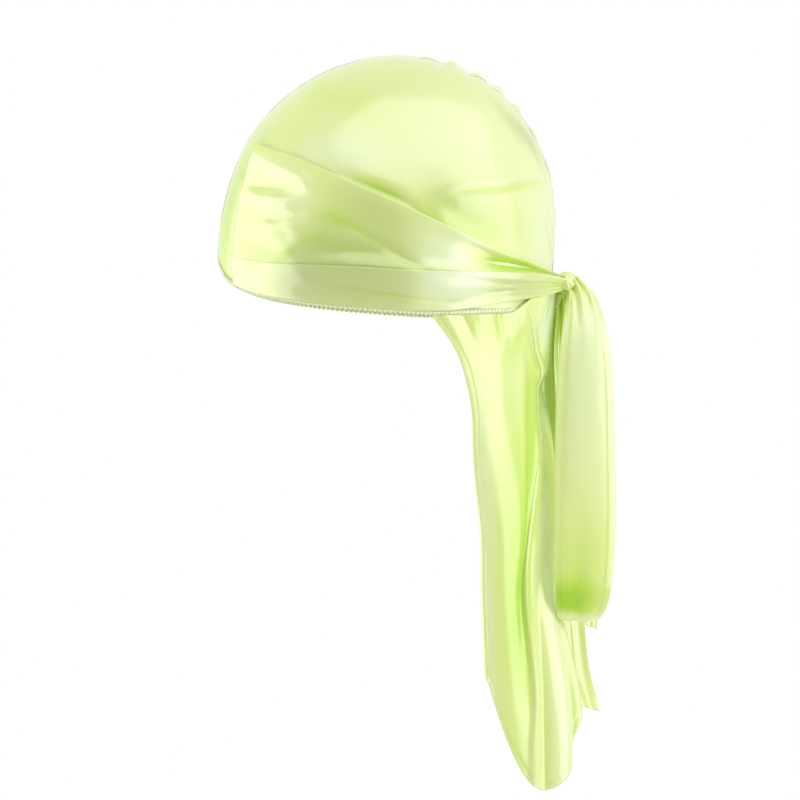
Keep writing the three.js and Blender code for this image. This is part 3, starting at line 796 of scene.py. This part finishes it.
def band_shape(side):
    def shape(across, down):
        azimuth = mix(band_sections[0]["azimuth"], band_sections[-1]["azimuth"], across)
        row = row_where(band_sections, "azimuth", azimuth)
        fold, lap = along(band_sections, "fold", row), along(band_sections, "lap", row)
        places, heights = band_profile(fold, lap)
        at = down * (len(places) - 1)
        step = np.clip(np.floor(at), 0, len(places) - 2).astype(int)

        def through(stops):
            stops = np.stack([stops[0], *stops, stops[-1]])
            nearest = (np.take_along_axis(stops, (step + more)[None], axis=0)[0] for more in range(4))
            return between(*nearest, at - step)

        place, height = through(places), through(heights)
        bottom = rim_depth(azimuth) - along(band_sections, "short", row)
        depth = mix(along(band_sections, "top", row), bottom, place)
        crease = creases(azimuth, place, band_creases)
        gathered = along(band_sections, "gather", row) * np.cos(2 * math.pi * gather_creases * place)
        crest = hump(place - fold, np.where(place < fold, crest_above, crest_below))
        height = height + millimetre * crease + gather_depth * gathered + lap_crest * lap * crest
        lift = band_lift * along(band_sections, "lift", row)
        ring = ring_at(depth)
        points = crown_out(azimuth, ring, band_lie + lift + height)
        uneven = ripples(points, band_ripple_length, band_ripple_height)
        points = lifted(points, uneven, crown_facing(azimuth, ring))
        points[..., 0] *= side
        # Painted shadow just above the pleat's edge and painted highlight along its crest below; the creases and
        # gathers also paint shade in their hollows and highlight on their ridges.
        painted_shadow_under_lap = hump(place - fold + shadow_above, shadow_width) * (at < pleat_edge_stop)
        tone = creases(azimuth, place, band_painted_light) + lap * (0.5 * crest * (at > pleat_edge_stop) - painted_shadow_under_lap)
        shade = creases(azimuth, place, band_shades)
        return dict(points=points, fold=0.4 * crease + 0.2 * gathered + tone, shade=shade)

    return shape


for name, side in (("band_left", 1), ("band_right", -1)):
    piece = cloth(name, band_columns, band_rows, band_shape(side))
    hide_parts("tie_band_left" if side > 0 else "tie_band_right")

# Knot
# The straps cross at the nape and are wound round each other once: a core of pressed folds across the nape, and
# one strap's folds drawn over its middle.
knot_low, knot_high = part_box("tie_knot")
knot_centre = np.array((knot_low + knot_high) / 2)
knot_half_width = (knot_high.x - knot_low.x) / 2
knot_radius = (knot_high.z - knot_low.z) / 2
core_sections = [
    dict(out=-1.0, thick=0.0, rise=0.1),
    dict(out=-0.85, thick=0.68, rise=0.1),
    dict(out=-0.55, thick=0.82, rise=0.04),
    dict(out=-0.2, thick=0.7, rise=0.0),
    dict(out=0.2, thick=0.7, rise=0.0),
    dict(out=0.55, thick=0.82, rise=-0.04),
    dict(out=0.85, thick=0.68, rise=0.05),
    dict(out=1.0, thick=0.0, rise=0.1),
]
core_folds = 6
core_furrow = 0.22
wrap_width = 0.011
wrap_reach = 0.78
wrap_lean = 24
wrap_folds = 3
wrap_furrow = 0.14
wrap_curl = 2.4
wrap_pinch = 0.35


def knot_core(across, down):
    row = down * (len(core_sections) - 1)
    angle = 2 * math.pi * across
    furrow = 1 - core_furrow * np.abs(np.sin(core_folds / 2 * angle + 1.1 * down))
    radius = knot_radius * along(core_sections, "thick", row) * furrow
    points = np.stack([
        knot_half_width * along(core_sections, "out", row),
        radius * np.cos(angle),
        radius * np.sin(angle) + knot_radius * along(core_sections, "rise", row),
    ], axis=-1) + knot_centre
    points[:, -1] = points[:, 0]
    # Painted shade in the furrows and painted highlight on the folds between them.
    return dict(points=points, fold=2 * (furrow - 0.85))


def knot_wrap(across, down):
    angle = 2 * math.pi * down
    beside = 2 * across - 1
    pinch = 1 - wrap_pinch * np.cos(angle) ** 2
    furrows = wrap_furrow * np.cos(2 * math.pi * wrap_folds * beside + 0.6 * np.sin(angle))
    ridge = 1 - wrap_curl * beside**4 + furrows
    radius = knot_radius * (wrap_reach + 0.2 * ridge)
    lean = math.radians(wrap_lean)
    out = beside * wrap_width / 2 * pinch
    back, up = radius * np.cos(angle), radius * np.sin(angle)
    sideways = out * math.cos(lean) + up * math.sin(lean) * 0.6
    points = np.stack([sideways, back, up * math.cos(lean) - 0.3 * out], axis=-1) + knot_centre
    points[-1] = points[0]
    # Painted shade at the wrap's rolled edges and furrows, and a slight painted highlight on its ridge.
    return dict(points=points, fold=ridge - 0.9)


core = cloth("knot_core", 72, 60, knot_core, thickness=None)
wrap = cloth("knot_wrap", 40, 96, knot_wrap)
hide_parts("tie_knot")

# Bow loop and tie ends
# One strap is drawn through as a loop and both ends hang loose, cut at a slant. The straps are single satin with
# a narrow stitched hem along each edge, crushed into lengthwise folds where they leave the knot.
strap_width = 0.034
loop_spread = 0.036
strap_cup = 0.0025
strap_crush = 0.0024
end_slant = 0.019
strap_hem = 0.004
hem_rise = 0.0002
hem_slope = 0.0008
crush_folds = 3
loop_sections = [
    dict(side=0.1, back=0.1, down=-0.01, half=0.13, turn=90, crush=0.8),
    dict(side=0.3, back=0.24, down=0.04, half=0.26, turn=92, crush=0.5),
    dict(side=0.44, back=0.3, down=0.13, half=0.38, turn=95, crush=0.12),
    dict(side=0.52, back=0.31, down=0.28, half=0.49, turn=95, crush=0),
    dict(side=0.54, back=0.31, down=0.5, half=0.53, turn=94, crush=0),
    dict(side=0.56, back=0.31, down=0.74, half=0.53, turn=92, crush=0),
    dict(side=0.48, back=0.27, down=0.92, half=0.48, turn=90, crush=0),
    dict(side=0.06, back=0.2, down=1.0, half=0.36, turn=90, crush=0),
    dict(side=-0.36, back=0.3, down=0.93, half=0.42, turn=90, crush=0),
    dict(side=-0.46, back=0.3, down=0.72, half=0.44, turn=90, crush=0),
    dict(side=-0.44, back=0.26, down=0.46, half=0.42, turn=90, crush=0.1),
    dict(side=-0.36, back=0.1, down=0.2, half=0.32, turn=90, crush=0.4),
    dict(side=-0.16, back=0.0, down=0.035, half=0.14, turn=90, crush=0.8),
]
long_end_sections = [
    dict(side=-0.1, back=-0.1, down=0.02, half=0.12, turn=-10, crush=0.8),
    dict(side=-0.27, back=-0.26, down=0.1, half=0.26, turn=-40, crush=0.6),
    dict(side=-0.46, back=-0.3, down=0.22, half=0.37, turn=-48, crush=0.4),
    dict(side=-0.76, back=-0.2, down=0.38, half=0.42, turn=-30, crush=0.3),
    dict(side=-1.04, back=0.0, down=0.58, half=0.36, turn=15, crush=0.3),
    dict(side=-1.02, back=0.12, down=0.78, half=0.3, turn=34, crush=0.25),
    dict(side=-0.9, back=0.2, down=0.9, half=0.28, turn=44, crush=0.2),
    dict(side=-0.68, back=0.4, down=1.0, half=0.22, turn=60, crush=0.15),
]
short_end_sections = [
    dict(side=-0.34, back=0.0, down=0.035, half=0.12, turn=30, crush=0.8),
    dict(side=-0.92, back=0.12, down=0.15, half=0.24, turn=55, crush=0.6),
    dict(side=-1.3, back=0.28, down=0.36, half=0.38, turn=76, crush=0.4),
    dict(side=-1.62, back=0.32, down=0.66, half=0.4, turn=84, crush=0.3),
    dict(side=-1.66, back=0.36, down=0.9, half=0.28, turn=86, crush=0.25),
    dict(side=-1.62, back=0.42, down=1.0, half=0.16, turn=88, crush=0.2),
]
loop_folds = [
    dict(run=(0, 0.06, 0.14, 0.24), at=(0.1, 0.2, 0.3, 0.35), height=(1.0, 0.9, 0.4, 0), width=0.16),
    dict(run=(0, 0.08, 0.2, 0.4, 0.5), at=(-0.5, -0.66, -0.74, -0.8, -0.8),
         height=(-1.2, -1.2, -0.8, -0.5, 0), width=0.12),
    dict(run=(0.36, 0.46, 0.54, 0.64), at=(-0.2, -0.2, -0.2, 0), height=(0, -1.0, -1.2, 0), width=0.3),
    dict(run=(0.5, 0.7, 0.9, 1.0), at=(-0.2, -0.2, -0.1, 0), height=(0, -1.2, -1.2, -0.8), width=0.16),
    dict(run=(0.5, 0.7, 0.9, 1.0), at=(0.5, 0.45, 0.4, 0.3), height=(0, 1.0, 1.0, 0.8), width=0.16),
]
end_folds = [
    dict(run=(0, 0.2, 0.5, 0.9), at=(-0.1, -0.15, -0.3, -0.35), height=(-1.4, -1.2, -0.8, -0.2), width=0.16),
    dict(run=(0, 0.2, 0.5, 0.9), at=(0.4, 0.42, 0.4, 0.5), height=(1.2, 1.0, 0.6, 0.2), width=0.18),
    dict(run=(0.4, 0.6, 0.8, 1), at=(0.1, 0.0, 0.1, 0.1), height=(0, -0.8, -0.8, 0), width=0.12),
]
# Painted light on the loop and ends: painted shade where they leave the knot and at the loop's foot, painted
# highlight down the loop's upper part.
loop_painted_light = [
    dict(run=(0.0, 0.06, 0.1), at=(-0.8, -0.8, -0.8), height=(-0.8, -0.5, 0), width=0.5),
    dict(run=(0.06, 0.14, 0.24, 0.34, 0.42), at=0.1, height=(0, 1.0, 1.2, 0.8, 0), width=1.0),
    dict(run=(0.40, 0.44, 0.48), at=(0, 0, 0), height=(0, -0.5, 0), width=1.5),
    dict(run=(0.44, 0.475, 0.505, 0.53, 0.552), at=(-0.2, -0.3, -0.5, -0.5, -0.5),
         height=(0, -1.4, -4.2, -3.8, 0), width=1.0),
    dict(run=(0.545, 0.562, 0.6, 0.62), at=(0, 0, 0, 0), height=(0, 1.6, 1.6, 0), width=1.5),
    dict(run=(0.62, 0.8, 1.0), at=(0, 0, 0), height=(0, -1.2, -1.6), width=1.5),
]
end_painted_light = [
    dict(run=(0.0, 0.1, 0.3, 0.5, 0.65), at=(0, 0, 0, 0, 0), height=(-0.5, -0.6, -0.7, -0.5, 0), width=1.5),
]


def strap_shape(sections, length, slant, folds, painted_light_rows):
    def middle(row):
        sideways = loop_spread * along(sections, "side", row)
        backwards = strap_width * along(sections, "back", row)
        return np.stack([sideways, backwards, -length * along(sections, "down", row)], axis=-1) + knot_centre

    def shape(across, down):
        row = down * (len(sections) - 1) * (1 - (slant / length) * (1 - across))
        run = unit(middle(row + 1e-3) - middle(row - 1e-3))
        turn = np.radians(along(sections, "turn", row))
        width = np.stack([np.cos(turn), np.sin(turn), 0 * turn], axis=-1)
        width = unit(width - run * (width * run).sum(axis=-1, keepdims=True))
        half, side = along(sections, "half", row), 2 * across - 1
        fold = creases(down, side, folds)
        crush = strap_crush * along(sections, "crush", row) * np.cos(crush_folds * math.pi * side)
        edge = strap_width / 2 * (1 - np.abs(side))
        out = crush - strap_cup * (side * side - 0.5) + millimetre * fold
        out = out + hem_rise * (1 - ease((edge - strap_hem) / hem_slope))
        points = middle(row) + width * (half * strap_width * side)[..., None]
        points = lifted(points, out, np.cross(run, width))
        # The folds and crush also set the colour: painted shade in their hollows, painted highlight on their
        # ridges, with the strap's painted light added.
        return dict(
            points=points,
            fold=0.3 * fold + 150 * crush + creases(down, side, painted_light_rows),
            seam=edge - strap_hem + hem_slope,
            stitch=down * length,
        )

    return shape


straps = [
    dict(
        name="loop", node="bow_loop", sections=loop_sections, slant=0, folds=loop_folds, painted_light_rows=loop_painted_light,
        rows=300, flat=(0.034, 0.42),
    ),
    dict(
        name="long_end", node="tie_end_long", sections=long_end_sections, slant=end_slant, folds=end_folds,
        painted_light_rows=end_painted_light, rows=200, flat=(0.030, 0.27),
    ),
    dict(
        name="short_end", node="tie_end_short", sections=short_end_sections, slant=end_slant, folds=end_folds,
        painted_light_rows=end_painted_light, rows=170, flat=(0.030, 0.22),
    ),
]
for strap in straps:
    length = knot_centre[2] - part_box(strap["node"])[0].z
    shape = strap_shape(strap["sections"], length, strap["slant"], strap["folds"], strap["painted_light_rows"])
    piece = cloth(strap["name"], 60, strap["rows"], shape)
    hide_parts(strap["node"])

# Tail
# Two panels, joined down the middle, gathered on to the crown's rim at the nape and left to hang. The weight of
# the cloth folds it lengthwise, and it turns to the wearer's left as it narrows. Its free edges are hemmed.
tail_length = -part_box("tail_seam")[0].z - crown_depth
tail_drop = 0.0006
tail_hem = 0.005
tail_sections = [
    dict(down=0.0, back=0.0, wide=0.94, deep=0.97, turn=0, near=78, far=66),
    dict(down=0.1, back=0.28, wide=0.86, deep=0.62, turn=8, near=71, far=68),
    dict(down=0.2, back=0.51, wide=0.74, deep=0.4, turn=18, near=70, far=70),
    dict(down=0.3, back=0.61, wide=0.62, deep=0.33, turn=27, near=72, far=72),
    dict(down=0.45, back=0.68, wide=0.45, deep=0.27, turn=38, near=72, far=70),
    dict(down=0.6, back=0.735, wide=0.39, deep=0.21, turn=50, near=72, far=66),
    dict(down=0.8, back=0.84, wide=0.42, deep=0.17, turn=62, near=72, far=68),
    dict(down=1.0, back=0.9, wide=0.36, deep=0.12, turn=70, near=72, far=72),
]
near_hem_row = 5.75
seam_hem_row = len(tail_sections) - 1
far_hem_row = 6.15
hem_roundness = 1.6
rim_fade_rows = 1.5
tail_folds = [
    dict(run=(0, 0.3, 0.6, 1), at=(-0.97, -0.97, -0.96, -0.96), height=(0, 0.6, 1.2, 1.0), width=0.04),
    dict(run=(0, 0.3, 0.6, 1), at=(-0.65, -0.62, -0.62, -0.6), height=(0.3, 0.6, 0.8, 0.8), width=0.25),
    dict(
        run=(0.0, 0.05, 0.09, 0.125, 0.18, 0.3, 0.46),
        at=(-0.46, -0.37, -0.24, -0.08, -0.02, 0.0, 0.0),
        height=(0.5, 1.2, 1.8, 1.8, 1.5, 1.2, 0),
        width=0.05,
    ),
    dict(run=(0.0, 0.04, 0.09, 0.125, 0.165), at=0.05, height=(0, 2.5, 4.6, 5.0, 0), width=0.22),
    dict(
        run=(0.05, 0.09, 0.13, 0.19, 0.32, 0.5, 0.6, 0.7, 0.8, 0.9),
        at=(-0.45, -0.34, -0.2, -0.16, -0.17, -0.19, -0.25, -0.24, -0.27, -0.25),
        height=(0, -0.8, -1.6, -2.0, -2.0, -1.9, -1.6, -1.2, -0.8, 0),
        width=0.13,
        before=0.09,
    ),
    dict(
        run=(0.33, 0.40, 0.5, 0.6, 0.71, 0.82, 0.91, 1.0),
        at=(0.0, -0.08, -0.155, -0.15, -0.1, -0.09, -0.15, -0.18),
        height=(0, 1.0, 1.6, 2.0, 2.0, 2.0, 1.8, 1.6),
        width=0.05,
    ),
    dict(run=(0.42, 0.6, 0.8, 1.0), at=(0.1, 0.1, 0.04, 0.02), height=(0, -1.2, -1.8, -1.6), width=0.09),
    dict(run=(0.12, 0.25, 0.5, 0.8, 1.0), at=(0.3, 0.4, 0.42, 0.38, 0.38),
         height=(0, 1.4, 2.0, 3.0, 2.6), width=0.2),
    dict(run=(0, 0.3, 0.6, 1), at=(0.68, 0.7, 0.72, 0.72), height=(-0.8, -2.4, -3.4, -3.0), width=0.12),
    dict(run=(0, 0.3, 0.6, 1), at=(0.92, 0.93, 0.94, 0.94), height=(0, 1.0, 1.6, 1.8), width=0.1),
]
# Painted light on the tail: painted shade down the valley beside the seam and in its folds, painted highlight on
# the pale part at the top and the strip beside the loop.
tail_painted_light = [
    dict(
        run=(0.08, 0.12, 0.17, 0.3, 0.5, 0.6, 0.7, 0.8, 0.92),
        at=(-0.3, -0.22, -0.14, -0.15, -0.17, -0.24, -0.24, -0.27, -0.25),
        height=(0, -1.1, -1.7, -2.2, -2.6, -2.8, -2.8, -2.4, 0),
        width=0.17,
        before=0.17,
    ),
    dict(
        run=(0.2, 0.34, 0.5, 0.75, 0.96),
        at=(-0.42, -0.46, -0.48, -0.46, -0.42),
        height=(0, -0.6, -1.3, -1.5, -0.8),
        width=0.16,
        before=0.2,
    ),
    dict(run=(0, 0.05, 0.12, 0.2), at=(-0.62, -0.6, -0.56, -0.5), height=(-0.9, -1.3, -0.9, 0), width=0.26),
    dict(run=(0.0, 0.06, 0.12, 0.16), at=(-0.02, 0.0, 0.04, 0.04), height=(2.0, 2.4, 2.2, 0), width=0.27),
    dict(run=(0.26, 0.38, 0.62, 0.72), at=0.3, height=(0, -0.6, -0.6, 0), width=0.16),
    dict(run=(0.13, 0.2, 0.34, 0.44), at=0.22, height=(0, 1.0, 1.0, 0), width=0.2),
    dict(run=(0.5, 0.7, 0.9, 1.0), at=(0.32, 0.34, 0.36, 0.36), height=(0, 0.3, 0.6, 0.6), width=0.2),
    dict(run=(0.3, 0.45, 0.7, 1.0), at=-0.85, height=(0, 0.6, 0.8, 0.6), width=0.12),
]
tail_gathers = [
    dict(side=-0.93, height=0.6, width=0.022, reach=0.07),
    dict(side=-0.84, height=-0.8, width=0.03, reach=0.09),
    dict(side=-0.74, height=0.6, width=0.035, reach=0.06),
    dict(side=-0.63, height=-1.1, width=0.03, reach=0.08),
    dict(side=-0.52, height=0.6, width=0.035, reach=0.07),
    dict(side=-0.42, height=-0.6, width=0.026, reach=0.06),
    dict(side=-0.28, height=0.4, width=0.03, reach=0.10),
    dict(side=-0.15, height=-0.3, width=0.03, reach=0.08),
    dict(side=0.14, height=-0.3, width=0.03, reach=0.08),
    dict(side=0.27, height=0.4, width=0.035, reach=0.10),
    dict(side=0.42, height=-0.6, width=0.03, reach=0.10),
    dict(side=0.55, height=0.8, width=0.035, reach=0.12),
    dict(side=0.68, height=-0.9, width=0.03, reach=0.12),
    dict(side=0.82, height=0.8, width=0.03, reach=0.10),
    dict(side=0.93, height=-0.6, width=0.03, reach=0.08),
]
gather_height = 0.0014
seam_drift = dict(
    down=(0, 0.05, 0.09, 0.125, 0.18, 0.3, 0.4, 0.5, 0.6, 0.71, 0.82, 0.91, 1.0),
    side=(-0.46, -0.37, -0.24, -0.08, -0.02, 0.0, -0.08, -0.155, -0.15, -0.1, -0.09, -0.15, -0.18),
)
over_rim_degrees = 32
over_rim_fade = 12
over_rim_lie = 0.0012
tail_lie = 0.0009
tail_seam_gap = 0.003
tail_half_flat = 0.07
tail_flat_length = 0.27
tail_stitch_run = 0.28


def tail_row(side, down):
    edge_row = np.where(side < 0, near_hem_row, far_hem_row)
    return down * mix(seam_hem_row, edge_row, np.abs(side) ** hem_roundness)


def drifted(side, down):
    """The place across the tail, from edge to edge, once its seam has wandered from the middle."""
    row = np.interp(down, seam_drift["down"], np.arange(len(seam_drift["down"])))
    return side + smooth(seam_drift["side"], row) * (1 - np.abs(side))


def tail_base(side, down):
    """The tail as a smooth half pipe that narrows, flattens and turns as it goes down, before its folds."""
    def pipe(row):
        reach = np.where(side < 0, along(tail_sections, "near", row), along(tail_sections, "far", row))
        angle, turn = np.radians(reach * side), np.radians(along(tail_sections, "turn", row))
        wide = -crown_half_width * along(tail_sections, "wide", row) * np.sin(angle)
        deep = crown_rear * along(tail_sections, "deep", row) * np.cos(angle)
        back = crown_rear * along(tail_sections, "back", row)
        height = -crown_depth - tail_length * along(tail_sections, "down", row)
        return np.stack([
            deep * np.sin(turn) + wide * np.cos(turn),
            back + deep * np.cos(turn) - wide * np.sin(turn),
            height,
        ], axis=-1)

    row = tail_row(side, down)
    sewn = side * np.where(side < 0, tail_sections[0]["near"], tail_sections[0]["far"])
    over_rim = ease((over_rim_degrees + over_rim_fade - np.abs(sewn)) / over_rim_fade)
    band_row = row_where(band_sections, "azimuth", 180 - np.abs(sewn))
    below_band = -crown_depth * along(band_sections, "short", band_row)
    beyond = mix(seat + hem_height + tail_drop, below_band, over_rim)
    onto_rim = past_rim(180 + sewn, beyond, (hem_thickness + over_rim_lie) * over_rim) - pipe(0 * row)
    return pipe(row) + onto_rim * (1 - ease(row / rim_fade_rows))[..., None]


def tail_relief(side, down):
    gathers = sum(
        row["height"] * hump(side - row["side"], row["width"]) * (1 - ease(down / row["reach"]))
        for row in tail_gathers
    )
    return millimetre * creases(down, side, tail_folds), gather_height * gathers


def outward(points, base):
    """The direction out of the tail, away from the head."""
    out = facing(points)
    return out * np.sign((out * base).sum())


def tail_place(side, down, distance):
    share = along(tail_sections, "down", tail_row(side, down))
    side = drifted(side, share)
    base = tail_base(side, down)
    folds, gathers = tail_relief(side, share)
    points = lifted(base, folds + gathers, outward(base, base))
    # The folds and gathers also set the colour: painted shade in their hollows, painted highlight on their ridges,
    # with the tail's painted light added.
    tone = folds * 90 + gathers * 250 + creases(down, side, tail_painted_light)
    return lifted(points, distance + 0 * side, outward(points, base)), tone


def tail_shape(near):
    def shape(across, down):
        away = np.clip(1 - across if near else across, tail_seam_gap, 1)
        points, tone = tail_place(-away if near else away, down, tail_lie)
        above_tip = (1 - down) * tail_flat_length
        edge = np.minimum((1 - away) * tail_half_flat, above_tip)
        points = lifted(points, -hem_rise * (1 - ease((edge - tail_hem) / hem_slope)))
        return dict(
            points=points,
            fold=tone,
            seam=edge - tail_hem + hem_slope,
            stitch=np.where(edge < above_tip, down * tail_stitch_run, across * tail_half_flat),
        )

    return shape


tail_near = cloth("tail_near", 110, 260, tail_shape(True))
tail_far = cloth("tail_far", 110, 260, tail_shape(False))
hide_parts("tail_panel_left")
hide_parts("tail_panel_right")

# Tail seam
# The tail's two panels are overlocked together, and the allowance stands on the outside along the middle.
tail_seam_width = 0.0025
tail_half_width = 0.09
tail_seam_lie = 0.0013
tail_seam_lean = 0.9


def tail_seam_shape(across, down):
    side = (across - tail_seam_lean) * tail_seam_width / tail_half_width
    points, tone = tail_place(side, down, tail_seam_lie)
    seam = (across - 0.5) * tail_seam_width
    # The allowance takes half the tail's painted light and is painted paler with the painted highlight colour.
    return dict(points=points, fold=0.5 * tone + 0.5, seam=seam, stitch=down * tail_stitch_run)


tail_seam = cloth(
    "tail_seam_allowance", 10, 300, tail_seam_shape, thickness=allowance_thickness
)
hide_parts("tail_seam")
